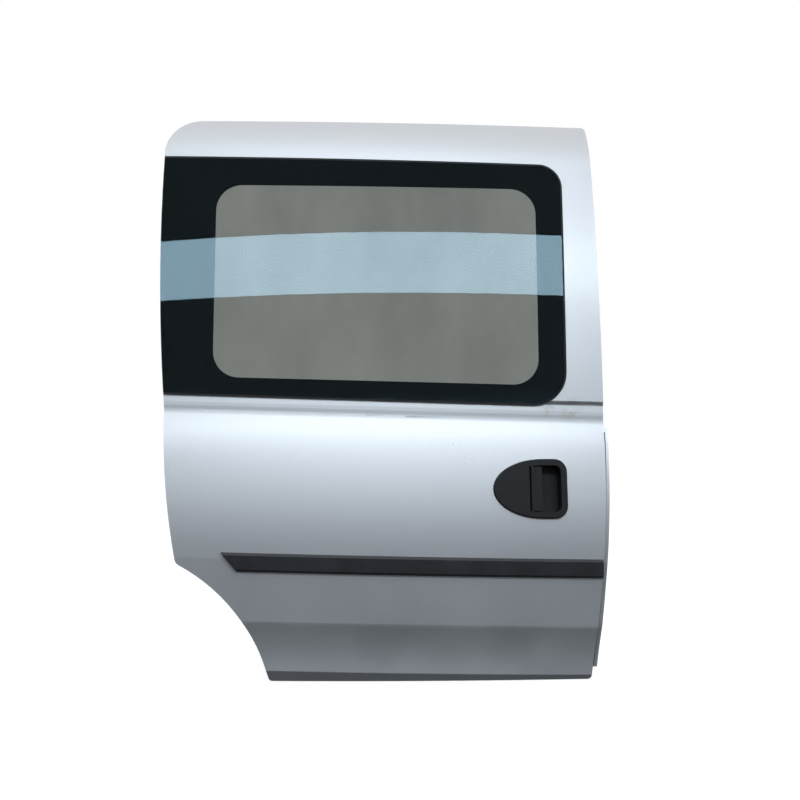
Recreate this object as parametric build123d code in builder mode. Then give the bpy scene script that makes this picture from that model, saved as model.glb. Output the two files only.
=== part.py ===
"""Sliding side door of a small van: pressed skin, inner panel, bonded side window, pull handle and roller arms.

Sketches are drawn in door coordinates: X runs forward along the vehicle, Y runs inboard from the widest point of
the skin, and Z runs up from the bottom edge. The planes they lie on put the part's origin on the flat underside of
the lower roller arm. Millimetres throughout.
"""

import os
from math import asin, cos, degrees, radians, sin, sqrt, tan

from build123d import *

# Sheet metal and clearances
SHEET = 1.2
SEAM_GAP = 0.3
HEM_DEPTH = 4.2
HEM_WIDTH = 8.6

# Outline of the door, seen from outside
TOP_FRONT_Z = 1196.0
TOP_REAR_DROP = 4.0
TOP_FRONT_X = 449.0
TOP_REAR_X = -472.0
TOP_REAR_RADIUS = 80.0
BELT_FRONT = (466.0, 520.0)
BELT_REAR = (-461.0, 560.0)
FRONT_UPPER_BULGE = (461.5, 830.0)
FRONT_LOWER_BULGE = (458.0, 230.0)
REAR_UPPER_BULGE = (-477.5, 880.0)
REAR_LOWER_BULGE = (-453.5, 410.0)
BOTTOM_FRONT_X = 436.0
ARCH_CENTRE = (-598.0, -85.0)
ARCH_RADIUS = 371.0
ARCH_TOP_X = -430.0
ARCH_TOP_ROUND = 16.0
CORNER_ROUND = 8.0

# Shape of the skin: one section, carried round a slight plan curve along lines that fall towards the front
PLAN_RADIUS = 6000.0
FEATURE_FALL = 1.2
SWEEP_HALF_WIDTH = 560.0
SILL_LIP_Z = 19.0
SILL_LIP_Y = 13.0
SILL_LIP_ROUND = 3.0
SILL_TURN_ANGLE = 33.0
SILL_COVE_RADIUS = 330.0
TUCK_Z = 119.0
TUCK_Y = 3.5
TUCK_ROUND = 32.0
WIDEST_Z = 250.0
SHOULDER_Z = 549.0
SHOULDER_TILT = 18.0
SHOULDER_ROUND = 40.0
BELT_MIDDLE_Z = 566.0
BELT_LOWER_TILT = 2.0
BELT_ROUND = 60.0
BELT_TOP_Z = 584.0
BELT_UPPER_TILT = 9.0
BELT_TOP_ROUND = 5.0
PILLAR_STEP_Z = 591.0
PILLAR_PROUD = 4.6
PILLAR_ROUND = 4.0
PILLAR_BOTTOM_TILT = 7.0
PILLAR_TOP_TILT = 12.0
ROOF_BEND_DROP = 94.0
ROOF_BEND_RADIUS = 200.0
SECTION_OVERRUN = 25.0

# Side window
GLASS_THICKNESS = 4.0
FRIT_THICKNESS = 0.6
BOND_THICKNESS = 3.5
GLASS_FRONT_X = 383.0
GLASS_TOP_FRONT_DROP = 99.5
GLASS_TOP_REAR_DROP = 91.2
GLASS_BOTTOM_FRONT_Z = 575.7
GLASS_BOTTOM_REAR_Z = 599.2
GLASS_TOP_RADIUS = 48.0
GLASS_BOTTOM_RADIUS = 68.0
GLASS_GAP = 4.0
GLASS_EDGE_INSET = 0.5
GLASS_OVERRUN = 60.0
GASKET_SET_BACK = 0.8
GASKET_DEPTH = 5.0
DAYLIGHT_FRONT_X = 327.0
DAYLIGHT_REAR_X = -361.0
DAYLIGHT_TOP_DROP = 152.5
DAYLIGHT_BOTTOM_FRONT_Z = 617.0
DAYLIGHT_BOTTOM_REAR_Z = 630.0
DAYLIGHT_RADIUS = 55.0
APERTURE_MARGIN = 18.0
BOND_INSET = 6.0
BOND_WIDTH = 10.0

# Inner structure
INNER_Y = 84.0
INNER_BEND_Z = 560.0
INNER_ROOF_Y = 184.0
INNER_TOP_Y = 226.0
FRAME_JOINT_Z = 564.0
FLANGE_REACH = 13.0
FLANGE_SET_BACK = 22.0
FLANGE_BOTTOM_Z = 22.0
FLANGE_TOP_Z = 528.0
FLANGE_REAR_X = 380.0
BEAD_DEPTH = 5.0
BEAD_HEIGHT = 26.0
BEAD_UPPER = (-40.0, 232.0, 560.0)
BEAD_LOWER = (20.0, 168.0, 480.0)
ACCESS_HOLE = (-30.0, 405.0, 240.0, 190.0)
HANDLE_ACCESS = (288.0, 400.0, 130.0, 150.0)
REAR_ACCESS = (-262.0, 405.0, 112.0, 116.0)
ACCESS_RADIUS = 30.0
WEATHERSTRIP_INSET = 15.0
WEATHERSTRIP_WIDTH = 12.0
WEATHERSTRIP_HEIGHT = 9.0
BEAM_Z = 262.0
BEAM_Y = 42.0
BEAM_RADIUS = 15.0
BEAM_WALL = 2.5
BEAM_REAR_X = -405.0
BEAM_FRONT_X = 425.0
BEAM_FOOT = 46.0
BELT_RAIL_Z = 530.0
BELT_RAIL_HEIGHT = 40.0
BELT_RAIL_DEPTH = 12.0
BELT_RAIL_HALF_LENGTH = 400.0

# Rub strip
STRIP_TOP_Z = 263.0
STRIP_HEIGHT = 38.5
STRIP_PROUD = 9.0
STRIP_SHOULDER = 5.0
STRIP_BEVEL = 5.0
STRIP_OVERRUN = 20.0
STRIP_REAR_TOP_X = -337.0
STRIP_REAR_BOTTOM_X = -304.0
STRIP_FRONT_X = 456.5

# Pull handle, in its own plane on the skin
HANDLE_X = 303.5
HANDLE_Z = 400.5
HANDLE_HALF_HEIGHT = 62.5
HANDLE_FRONT = 78.5
HANDLE_NOSE_CENTRE = 26.5
HANDLE_NOSE_LENGTH = 105.0
HANDLE_CORNER = 27.0
HANDLE_LAND = 7.0
HANDLE_RIM = 13.5
HANDLE_PROUD = 4.0
HANDLE_EDGE_ROUND = 3.0
HANDLE_ROOT = 12.0
HANDLE_HOLE_CLEARANCE = 0.5
CUP_DEPTH = 34.0
CUP_FLOOR = 3.0
OPENING_REAR = -2.0
FLAP_GAP = 2.5
FLAP_FRONT = 25.0
FLAP_BACK = -3.5
FLAP_FACE = 1.5
FLAP_LIP_LENGTH = 8.0
FLAP_LIP_BACK = -14.0
PIN_RADIUS = 2.0
PIN_RUNNING_GAP = 0.06
PIN_SEAT_GAP = 0.03
PIN_SEAT = 3.0
BARREL_RADIUS = 4.5

# Roller arms
ROLLER_RADIUS = 14.0
ROLLER_WIDTH = 12.0
LOAD_ROLLER_RADIUS = 17.0
AXLE_RADIUS = 4.0
AXLE_GAP = 0.06
AXLE_HEAD = 3.0
AXLE_HEAD_RADIUS = 7.0
PLATE = 5.0
PLATE_ROUND = 8.0
LOWER_X = 330.0
LOWER_ARM_Z = 45.0
LOWER_BASE = (110.0, 76.0)
LOWER_SHELF = 62.0
LOWER_ARM_LENGTH = 120.0
LOWER_ARM_TIP = 84.0
LOWER_ROLLER_SPACING = 52.0
UPPER_X = 398.0
UPPER_ARM_DROP = 144.0
UPPER_BASE_HEIGHT = 64.0
UPPER_WIDTH = 46.0
UPPER_ARM_LENGTH = 104.0
CENTRE_X = -392.0
CENTRE_Z = 470.0
CENTRE_BASE = (64.0, 92.0)
CENTRE_EAR = 34.0
CENTRE_EAR_SPACING = 44.0
CENTRE_PIN_RADIUS = 6.0
CENTRE_ARM_LENGTH = 112.0
CENTRE_ARM_WIDTH = 30.0
CENTRE_HEAD = 74.0
CENTRE_ROLLER_SPACING = 44.0

# Latches and inside release
REAR_LATCH = (-371.0, 345.0)
FRONT_LATCH = (397.0, 345.0)
LATCH_SIZE = (62.0, 84.0)
LATCH_DEPTH = 26.0
LATCH_FLANGE = 7.0
LATCH_PLATE = 3.0
MOUTH_HEIGHT = 16.0
MOUTH_LENGTH = 38.0
MOUTH_DEPTH = 20.0
CLAW_THICKNESS = 6.0
CLAW_RADIUS = 24.0
CLAW_RISE = 13.0
CLAW_SLOT_HEIGHT = 9.0
CLAW_SLOT_END = 4.0
INNER_HANDLE = (165.0, 420.0)
INNER_HANDLE_SIZE = (84.0, 110.0)
INNER_HANDLE_HEIGHT = 16.0
INNER_HANDLE_WALL = 4.0
INNER_LEVER_SIZE = (46.0, 78.0)
INNER_LEVER_THICKNESS = 7.0

# Planes in door coordinates, with the part's origin on the underside of the lower arm
ARM_FACE_Y = INNER_Y + LOWER_SHELF + LOWER_ARM_LENGTH / 2
door_origin = (-LOWER_X, -ARM_FACE_Y, -LOWER_ARM_Z)
elevation = Plane(origin=door_origin, x_dir=(1, 0, 0), z_dir=(0, -1, 0))
plan = Plane(origin=door_origin, x_dir=(1, 0, 0), z_dir=(0, 0, 1))
side = Plane(origin=door_origin, x_dir=(0, 1, 0), z_dir=(1, 0, 0))
fall_cos = cos(radians(FEATURE_FALL))
fall_sin = sin(radians(FEATURE_FALL))
body_frame = Plane(origin=door_origin, x_dir=(fall_cos, 0, -fall_sin), z_dir=(fall_sin, 0, fall_cos))

# Heights that follow the roof edge
top_rear_z = TOP_FRONT_Z - TOP_REAR_DROP
roof_bend_z = TOP_FRONT_Z - ROOF_BEND_DROP
glass_top_front_z = TOP_FRONT_Z - GLASS_TOP_FRONT_DROP
glass_top_rear_z = TOP_FRONT_Z - GLASS_TOP_REAR_DROP
daylight_top_z = TOP_FRONT_Z - DAYLIGHT_TOP_DROP
upper_arm_z = TOP_FRONT_Z - UPPER_ARM_DROP

# Section of the skin
plan_axis = Axis(body_frame.from_local_coords((0, PLAN_RADIUS, 0)), body_frame.z_dir)
sweep_sine = SWEEP_HALF_WIDTH / PLAN_RADIUS
sweep_cosine = sqrt(1 - sweep_sine**2)
sweep_angle = 2 * degrees(asin(sweep_sine))
section_plane = Plane(
    origin=body_frame.from_local_coords((-PLAN_RADIUS * sweep_sine, PLAN_RADIUS * (1 - sweep_cosine), 0)),
    x_dir=body_frame.x_dir * sweep_sine + body_frame.y_dir * sweep_cosine,
    z_dir=body_frame.x_dir * sweep_cosine - body_frame.y_dir * sweep_sine,
)
shoulder_radius = (SHOULDER_Z - WIDEST_Z) / sin(radians(SHOULDER_TILT))
shoulder_y = shoulder_radius * (1 - cos(radians(SHOULDER_TILT)))
belt_middle_y = shoulder_y + (BELT_MIDDLE_Z - SHOULDER_Z) * tan(radians(BELT_LOWER_TILT))
belt_top_y = belt_middle_y + (BELT_TOP_Z - BELT_MIDDLE_Z) * tan(radians(BELT_UPPER_TILT))
pillar_y = belt_top_y - PILLAR_PROUD
pillar_bottom_sine = sin(radians(PILLAR_BOTTOM_TILT))
pillar_top_sine = sin(radians(PILLAR_TOP_TILT))
pillar_radius = (roof_bend_z - PILLAR_STEP_Z) / (pillar_top_sine - pillar_bottom_sine)
pillar_centre_y = pillar_y + pillar_radius * cos(radians(PILLAR_BOTTOM_TILT))
pillar_centre_z = PILLAR_STEP_Z - pillar_radius * pillar_bottom_sine
roof_bend_y = pillar_centre_y - pillar_radius * cos(radians(PILLAR_TOP_TILT))
section_top_z = TOP_FRONT_Z + SECTION_OVERRUN
roof_top_sine = pillar_top_sine + (section_top_z - roof_bend_z) / ROOF_BEND_RADIUS
roof_top_y = roof_bend_y + ROOF_BEND_RADIUS * (cos(radians(PILLAR_TOP_TILT)) - sqrt(1 - roof_top_sine**2))
sill_end_y = SILL_LIP_Y + (SILL_LIP_Z + SECTION_OVERRUN) * tan(radians(SILL_TURN_ANGLE))

# Depths behind the window's outer surface
frit_depth = GLASS_THICKNESS + SEAM_GAP
bond_depth = frit_depth + FRIT_THICKNESS + SEAM_GAP
rebate_depth = bond_depth + BOND_THICKNESS + SEAM_GAP

os.makedirs("parts", exist_ok=True)


def skin_line(depth):
    """Draws the skin's section from bottom to top, moved inboard by depth; returns its ends and rounded bends."""
    bottom = (sill_end_y + depth, -SECTION_OVERRUN)
    lip = (SILL_LIP_Y + depth, SILL_LIP_Z)
    tuck = (TUCK_Y + depth, TUCK_Z)
    widest = (depth, WIDEST_Z)
    shoulder = (shoulder_y + depth, SHOULDER_Z)
    belt_middle = (belt_middle_y + depth, BELT_MIDDLE_Z)
    belt_top = (belt_top_y + depth, BELT_TOP_Z)
    pillar = (pillar_y + depth, PILLAR_STEP_Z)
    roof_bend = (roof_bend_y + depth, roof_bend_z)
    top = (roof_top_y + depth, section_top_z)
    Line(bottom, lip)
    RadiusArc(lip, tuck, -SILL_COVE_RADIUS)
    Line(tuck, widest)
    RadiusArc(widest, shoulder, shoulder_radius)
    Polyline(shoulder, belt_middle, belt_top, pillar)
    RadiusArc(pillar, roof_bend, pillar_radius)
    RadiusArc(roof_bend, top, ROOF_BEND_RADIUS)
    bends = (
        (lip, SILL_LIP_ROUND),
        (tuck, TUCK_ROUND),
        (shoulder, SHOULDER_ROUND),
        (belt_middle, BELT_ROUND),
        (belt_top, BELT_TOP_ROUND),
        (pillar, PILLAR_ROUND),
    )
    return bottom, top, bends


def window_line(depth):
    """Draws the window's section, the pillar's curve carried on past both ends; returns its ends and no bends."""
    bottom_z = GLASS_BOTTOM_FRONT_Z - GLASS_OVERRUN
    top_z = glass_top_rear_z + GLASS_OVERRUN
    bottom = (pillar_centre_y + depth - sqrt(pillar_radius**2 - (bottom_z - pillar_centre_z) ** 2), bottom_z)
    top = (pillar_centre_y + depth - sqrt(pillar_radius**2 - (top_z - pillar_centre_z) ** 2), top_z)
    RadiusArc(bottom, top, pillar_radius)
    return bottom, top, ()


def band(line, front, back):
    """The space between a section line moved inboard by front and by back, carried along the door."""
    with BuildPart() as space:
        with BuildSketch(section_plane) as section:
            with BuildLine():
                front_bottom, front_top, front_bends = line(front)
                back_bottom, back_top, back_bends = line(back)
                Line(front_bottom, back_bottom)
                Line(front_top, back_top)
            make_face()
            for bend, radius in (*front_bends, *back_bends):
                fillet(section.vertices().sort_by_distance(bend)[0], radius)
        revolve(axis=plan_axis, revolution_arc=sweep_angle)
    return space.part


def column(outline):
    """An outline seen from outside, carried right through the door."""
    with BuildPart() as space:
        with BuildSketch(elevation):
            add(outline)
        extrude(amount=SWEEP_HALF_WIDTH, both=True)
    return space.part


def door_outline(inset):
    """The door's edge seen from outside, moved inwards by inset."""
    arch_radius = ARCH_RADIUS + inset
    arch_top_x = ARCH_TOP_X + inset
    arch_top = (arch_top_x, ARCH_CENTRE[1] + sqrt(arch_radius**2 - (arch_top_x - ARCH_CENTRE[0]) ** 2))
    bottom_rear = (ARCH_CENTRE[0] + sqrt(arch_radius**2 - (inset - ARCH_CENTRE[1]) ** 2), inset)
    bottom_front = (BOTTOM_FRONT_X - inset, inset)
    belt_front = (BELT_FRONT[0] - inset, BELT_FRONT[1])
    top_front = (TOP_FRONT_X - inset, TOP_FRONT_Z - inset)
    top_rear = (TOP_REAR_X + inset, top_rear_z - inset)
    belt_rear = (BELT_REAR[0] + inset, BELT_REAR[1])
    small_round = max(CORNER_ROUND - inset, SHEET)
    with BuildSketch() as face:
        with BuildLine():
            Line(bottom_rear, bottom_front)
            ThreePointArc(bottom_front, (FRONT_LOWER_BULGE[0] - inset, FRONT_LOWER_BULGE[1]), belt_front)
            ThreePointArc(belt_front, (FRONT_UPPER_BULGE[0] - inset, FRONT_UPPER_BULGE[1]), top_front)
            Line(top_front, top_rear)
            ThreePointArc(top_rear, (REAR_UPPER_BULGE[0] + inset, REAR_UPPER_BULGE[1]), belt_rear)
            ThreePointArc(belt_rear, (REAR_LOWER_BULGE[0] + inset, REAR_LOWER_BULGE[1]), arch_top)
            RadiusArc(arch_top, bottom_rear, arch_radius)
        make_face()
        fillet(face.vertices().sort_by_distance(top_rear)[0], TOP_REAR_RADIUS - inset)
        fillet(face.vertices().sort_by_distance(arch_top)[0], max(ARCH_TOP_ROUND - inset, SHEET))
        for corner in (bottom_rear, bottom_front, top_front):
            fillet(face.vertices().sort_by_distance(corner)[0], small_round)
    return face.sketch


def glass_outline(margin):
    """The glass seen from outside, running out past the door's rear edge, moved outwards by margin."""
    front_top = (GLASS_FRONT_X + margin, glass_top_front_z + margin)
    front_bottom = (GLASS_FRONT_X + margin, GLASS_BOTTOM_FRONT_Z - margin)
    with BuildSketch() as face:
        with BuildLine():
            Polyline(
                (-SWEEP_HALF_WIDTH, GLASS_BOTTOM_REAR_Z - margin),
                front_bottom,
                front_top,
                (-SWEEP_HALF_WIDTH, glass_top_rear_z + margin),
                close=True,
            )
        make_face()
        fillet(face.vertices().sort_by_distance(front_top)[0], GLASS_TOP_RADIUS + margin)
        fillet(face.vertices().sort_by_distance(front_bottom)[0], GLASS_BOTTOM_RADIUS + margin)
    return face.sketch


def glass_sheet(inset):
    """The glass cut off at the door's rear edge, its whole edge moved inwards by inset."""
    with BuildSketch() as face:
        add(glass_outline(-inset))
        add(door_outline(GLASS_EDGE_INSET + inset), mode=Mode.INTERSECT)
    return face.sketch


def daylight_outline(margin):
    """The clear part of the window, moved outwards by margin."""
    with BuildSketch() as face:
        with BuildLine():
            Polyline(
                (DAYLIGHT_REAR_X - margin, DAYLIGHT_BOTTOM_REAR_Z - margin),
                (DAYLIGHT_FRONT_X + margin, DAYLIGHT_BOTTOM_FRONT_Z - margin),
                (DAYLIGHT_FRONT_X + margin, daylight_top_z + margin),
                (DAYLIGHT_REAR_X - margin, daylight_top_z + margin),
                close=True,
            )
        make_face()
        fillet(face.vertices(), DAYLIGHT_RADIUS + margin)
    return face.sketch


def handle_outline(inset):
    """The handle's rim in its own plane, moved inwards by inset."""
    half = HANDLE_HALF_HEIGHT - inset
    front = HANDLE_FRONT - inset
    with BuildSketch() as face:
        with BuildLine():
            EllipticalCenterArc(
                (HANDLE_NOSE_CENTRE, 0), HANDLE_NOSE_LENGTH - inset, half, start_angle=90, arc_size=180
            )
            Polyline((HANDLE_NOSE_CENTRE, -half), (front, -half), (front, half), (HANDLE_NOSE_CENTRE, half))
        make_face()
        fillet(face.vertices().group_by(Axis.X)[-1], HANDLE_CORNER - inset)
    return face.sketch


def inner_space(depth):
    """Everything outboard of the inner panel's face moved inboard by depth."""
    with BuildPart() as space:
        with BuildSketch(side):
            with BuildLine():
                Polyline(
                    (INNER_Y + depth, -SECTION_OVERRUN),
                    (INNER_Y + depth, INNER_BEND_Z),
                    (INNER_ROOF_Y + depth, roof_bend_z),
                    (INNER_TOP_Y + depth, TOP_FRONT_Z),
                    (-INNER_Y, TOP_FRONT_Z),
                    (-INNER_Y, -SECTION_OVERRUN),
                    close=True,
                )
            make_face()
        extrude(amount=SWEEP_HALF_WIDTH, both=True)
    return space.part


# Handle plane, square to the skin at the handle's middle
handle_rise = HANDLE_Z * fall_cos + HANDLE_X * fall_sin
handle_run = HANDLE_X * fall_cos - HANDLE_Z * fall_sin
handle_tilt = asin((handle_rise - WIDEST_Z) / shoulder_radius)
handle_arm = PLAN_RADIUS - shoulder_radius * (1 - cos(handle_tilt))
handle_turn = asin(handle_run / handle_arm)
handle_plane = Plane(
    origin=body_frame.from_local_coords((handle_run, PLAN_RADIUS - handle_arm * cos(handle_turn), handle_rise)),
    x_dir=(cos(handle_turn), sin(handle_turn), 0),
    z_dir=(
        sin(handle_turn) * cos(handle_tilt),
        -cos(handle_turn) * cos(handle_tilt),
        sin(handle_tilt),
    ),
)
handle_axis = Axis(handle_plane.origin, handle_plane.z_dir)
pivot_x = OPENING_REAR + FLAP_GAP + BARREL_RADIUS
pivot_plane = Plane(
    origin=handle_plane.from_local_coords((pivot_x, 0, FLAP_FACE - BARREL_RADIUS)),
    x_dir=handle_plane.x_dir,
    z_dir=-handle_plane.y_dir,
)

# Outer skin: sheet with a folded edge, a rebate for the glass, the window opening and the handle hole
with BuildPart() as hem_inside:
    add(band(skin_line, SHEET, 2 * HEM_DEPTH))
    add(column(door_outline(HEM_WIDTH)), mode=Mode.INTERSECT)

with BuildPart() as rebate_hem_inside:
    add(band(window_line, rebate_depth + SHEET, rebate_depth + 2 * HEM_DEPTH))
    add(column(door_outline(HEM_WIDTH)), mode=Mode.INTERSECT)

with BuildPart() as rebate:
    add(band(window_line, -INNER_Y, rebate_depth + HEM_DEPTH))
    add(column(glass_outline(GLASS_GAP + SHEET)), mode=Mode.INTERSECT)
    add(column(door_outline(0)), mode=Mode.INTERSECT)
    add(band(skin_line, 0, 2 * INNER_Y), mode=Mode.INTERSECT)
    add(rebate_hem_inside.part, mode=Mode.SUBTRACT)

with BuildPart() as glass_pocket:
    add(band(window_line, -INNER_Y, rebate_depth))
    add(column(glass_outline(GLASS_GAP)), mode=Mode.INTERSECT)

with BuildPart() as outer_skin:
    add(band(skin_line, 0, HEM_DEPTH))
    add(column(door_outline(0)), mode=Mode.INTERSECT)
    add(hem_inside.part, mode=Mode.SUBTRACT)
    add(rebate.part)
    add(glass_pocket.part, mode=Mode.SUBTRACT)
    add(column(daylight_outline(APERTURE_MARGIN)), mode=Mode.SUBTRACT)
    with BuildSketch(handle_plane):
        add(handle_outline(HANDLE_LAND))
    extrude(amount=CUP_DEPTH, both=True, mode=Mode.SUBTRACT)
outer_skin.part.label = "outer_skin"
export_step(outer_skin.part, "parts/outer_skin.step")

# Side window: glass, printed border, adhesive bead and edge rubber, each one layer behind the last
with BuildPart() as window_glass:
    add(band(window_line, 0, GLASS_THICKNESS))
    add(column(glass_sheet(0)), mode=Mode.INTERSECT)
window_glass.part.label = "window_glass"
export_step(window_glass.part, "parts/window_glass.step")

with BuildPart() as window_frit:
    add(band(window_line, frit_depth, frit_depth + FRIT_THICKNESS))
    add(column(glass_sheet(0)), mode=Mode.INTERSECT)
    add(column(daylight_outline(0)), mode=Mode.SUBTRACT)
window_frit.part.label = "window_frit"
export_step(window_frit.part, "parts/window_frit.step")

with BuildPart() as window_bond:
    add(band(window_line, bond_depth, bond_depth + BOND_THICKNESS))
    add(column(glass_sheet(BOND_INSET)), mode=Mode.INTERSECT)
    add(column(glass_sheet(BOND_INSET + BOND_WIDTH)), mode=Mode.SUBTRACT)
window_bond.part.label = "window_bond"
export_step(window_bond.part, "parts/window_bond.step")

with BuildPart() as window_gasket:
    add(band(window_line, GASKET_SET_BACK, GASKET_DEPTH))
    add(column(glass_outline(GLASS_GAP - SEAM_GAP)), mode=Mode.INTERSECT)
    add(column(glass_outline(SEAM_GAP)), mode=Mode.SUBTRACT)
    add(column(door_outline(GLASS_EDGE_INSET)), mode=Mode.INTERSECT)
window_gasket.part.label = "window_gasket"
export_step(window_gasket.part, "parts/window_gasket.step")

# Rub strip: a moulding on the skin's widest line, cut slanting at the rear and flush with the front edge
strip_bottom_z = STRIP_TOP_Z - STRIP_HEIGHT
slant_overrun = STRIP_OVERRUN * (STRIP_REAR_BOTTOM_X - STRIP_REAR_TOP_X) / STRIP_HEIGHT
slant_top_z = STRIP_TOP_Z - STRIP_REAR_TOP_X * fall_sin + STRIP_OVERRUN
slant_bottom_z = strip_bottom_z - STRIP_REAR_BOTTOM_X * fall_sin - STRIP_OVERRUN
slant_top = (STRIP_REAR_TOP_X - slant_overrun, slant_top_z)
slant_bottom = (STRIP_REAR_BOTTOM_X + slant_overrun, slant_bottom_z)
with BuildPart() as rub_strip:
    with BuildSketch(section_plane):
        with BuildLine():
            Polyline(
                (-SEAM_GAP, strip_bottom_z),
                (-STRIP_SHOULDER, strip_bottom_z),
                (-STRIP_PROUD, strip_bottom_z + STRIP_BEVEL),
                (-STRIP_PROUD, STRIP_TOP_Z - STRIP_BEVEL),
                (-STRIP_SHOULDER, STRIP_TOP_Z),
                (-SEAM_GAP, STRIP_TOP_Z),
                close=True,
            )
        make_face()
    revolve(axis=plan_axis, revolution_arc=sweep_angle)
    with BuildSketch(elevation):
        with BuildLine():
            Polyline(
                slant_top,
                slant_bottom,
                (STRIP_FRONT_X, slant_bottom[1] - STRIP_OVERRUN),
                (STRIP_FRONT_X, slant_top[1]),
                close=True,
            )
        make_face()
    extrude(amount=SWEEP_HALF_WIDTH, both=True, mode=Mode.INTERSECT)
rub_strip.part.label = "rub_strip"
export_step(rub_strip.part, "parts/rub_strip.step")

# Pull handle: a bezel with a smooth nose and a finger recess, and a sprung flap on a pin across the recess
flap_half_height = HANDLE_HALF_HEIGHT - HANDLE_RIM - FLAP_GAP
pin_half_length = flap_half_height + FLAP_GAP + PIN_SEAT
cup_inset = HANDLE_LAND + HANDLE_HOLE_CLEARANCE


def handle_part(inset, rear, front):
    """The handle's outline, moved inwards by inset and cut off at two distances along the handle."""
    with BuildSketch() as face:
        add(handle_outline(inset))
        with BuildLine():
            Polyline(
                (rear, -HANDLE_HALF_HEIGHT),
                (front, -HANDLE_HALF_HEIGHT),
                (front, HANDLE_HALF_HEIGHT),
                (rear, HANDLE_HALF_HEIGHT),
                close=True,
            )
        make_face(mode=Mode.INTERSECT)
    return face.sketch


with BuildPart() as handle_bezel:
    with BuildSketch(handle_plane.offset(-HANDLE_ROOT)):
        add(handle_outline(0))
    extrude(amount=HANDLE_ROOT + HANDLE_PROUD)
    fillet(handle_bezel.faces().sort_by(handle_axis)[-1].edges(), HANDLE_EDGE_ROUND)
    add(band(skin_line, -SEAM_GAP, 2 * INNER_Y), mode=Mode.SUBTRACT)
    with BuildSketch(handle_plane.offset(-CUP_DEPTH)):
        add(handle_outline(cup_inset))
    extrude(amount=CUP_DEPTH + HANDLE_PROUD / 2)
    with BuildSketch(handle_plane.offset(CUP_FLOOR - CUP_DEPTH)):
        add(handle_part(HANDLE_RIM, OPENING_REAR, HANDLE_FRONT))
    extrude(amount=CUP_DEPTH + HANDLE_ROOT, mode=Mode.SUBTRACT)
    with BuildSketch(handle_plane.offset(-CUP_DEPTH)):
        add(handle_part(cup_inset + CUP_FLOOR, -HANDLE_NOSE_LENGTH, OPENING_REAR - CUP_FLOOR))
    extrude(amount=CUP_DEPTH - CUP_FLOOR, mode=Mode.SUBTRACT)
    with BuildSketch(pivot_plane):
        Circle(PIN_RADIUS + PIN_SEAT_GAP)
    extrude(amount=pin_half_length, both=True, mode=Mode.SUBTRACT)
handle_bezel.part.label = "handle_bezel"
export_step(handle_bezel.part, "parts/handle_bezel.step")

with BuildPart() as handle_flap:
    with BuildSketch(handle_plane.offset(FLAP_BACK)):
        add(handle_part(HANDLE_RIM + FLAP_GAP, pivot_x, FLAP_FRONT))
    extrude(amount=FLAP_FACE - FLAP_BACK)
    with BuildSketch(handle_plane.offset(FLAP_LIP_BACK)):
        add(handle_part(HANDLE_RIM + FLAP_GAP, FLAP_FRONT - FLAP_LIP_LENGTH, FLAP_FRONT))
    extrude(amount=FLAP_BACK - FLAP_LIP_BACK)
    with BuildSketch(pivot_plane):
        Circle(BARREL_RADIUS)
    extrude(amount=flap_half_height, both=True)
    with BuildSketch(pivot_plane):
        Circle(PIN_RADIUS + PIN_RUNNING_GAP)
    extrude(amount=HANDLE_HALF_HEIGHT, both=True, mode=Mode.SUBTRACT)
handle_flap.part.label = "handle_flap"
export_step(handle_flap.part, "parts/handle_flap.step")

with BuildPart() as handle_pin:
    with BuildSketch(pivot_plane):
        Circle(PIN_RADIUS)
    extrude(amount=pin_half_length - PIN_SEAT_GAP, both=True)
handle_pin.part.label = "handle_pin"
export_step(handle_pin.part, "parts/handle_pin.step")

# Inner structure: two pressings behind the skin, meeting below the window
with BuildPart() as rebate_room:
    add(band(window_line, -INNER_Y, rebate_depth + SHEET + SEAM_GAP))
    add(column(glass_outline(GLASS_GAP + SHEET + SEAM_GAP)), mode=Mode.INTERSECT)


def flange_outline(inset):
    """The front jamb flange that stands out past the skin's front edge."""
    with BuildSketch() as face:
        with BuildLine():
            Polyline(
                (FLANGE_REAR_X, FLANGE_BOTTOM_Z + inset),
                (SWEEP_HALF_WIDTH, FLANGE_BOTTOM_Z + inset),
                (SWEEP_HALF_WIDTH, FLANGE_TOP_Z - inset),
                (FLANGE_REAR_X, FLANGE_TOP_Z - inset),
                close=True,
            )
        make_face()
        add(door_outline(inset - FLANGE_REACH), mode=Mode.INTERSECT)
    return face.sketch


def storey(bottom, top):
    """A level slice right through the door."""
    with BuildPart() as space:
        with BuildSketch(plan.offset(bottom)):
            Rectangle(2 * SWEEP_HALF_WIDTH, 2 * SWEEP_HALF_WIDTH)
        extrude(amount=top - bottom)
    return space.part


def inner_form(inset, bottom, top):
    """The room behind the skin between two levels, each wall of it moved inwards by inset."""
    with BuildPart() as jamb:
        add(band(skin_line, FLANGE_SET_BACK + inset, INNER_TOP_Y))
        add(column(flange_outline(inset)), mode=Mode.INTERSECT)
    with BuildPart() as space:
        add(band(skin_line, SHEET + SEAM_GAP, INNER_TOP_Y))
        add(column(door_outline(HEM_WIDTH + SEAM_GAP + inset)), mode=Mode.INTERSECT)
        add(jamb.part)
        add(rebate_room.part, mode=Mode.SUBTRACT)
        add(inner_space(-inset), mode=Mode.INTERSECT)
        add(storey(bottom, top), mode=Mode.INTERSECT)
    return space.part


inner_face = elevation.offset(-INNER_Y)
sheet_back = elevation.offset(SHEET - INNER_Y)

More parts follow.
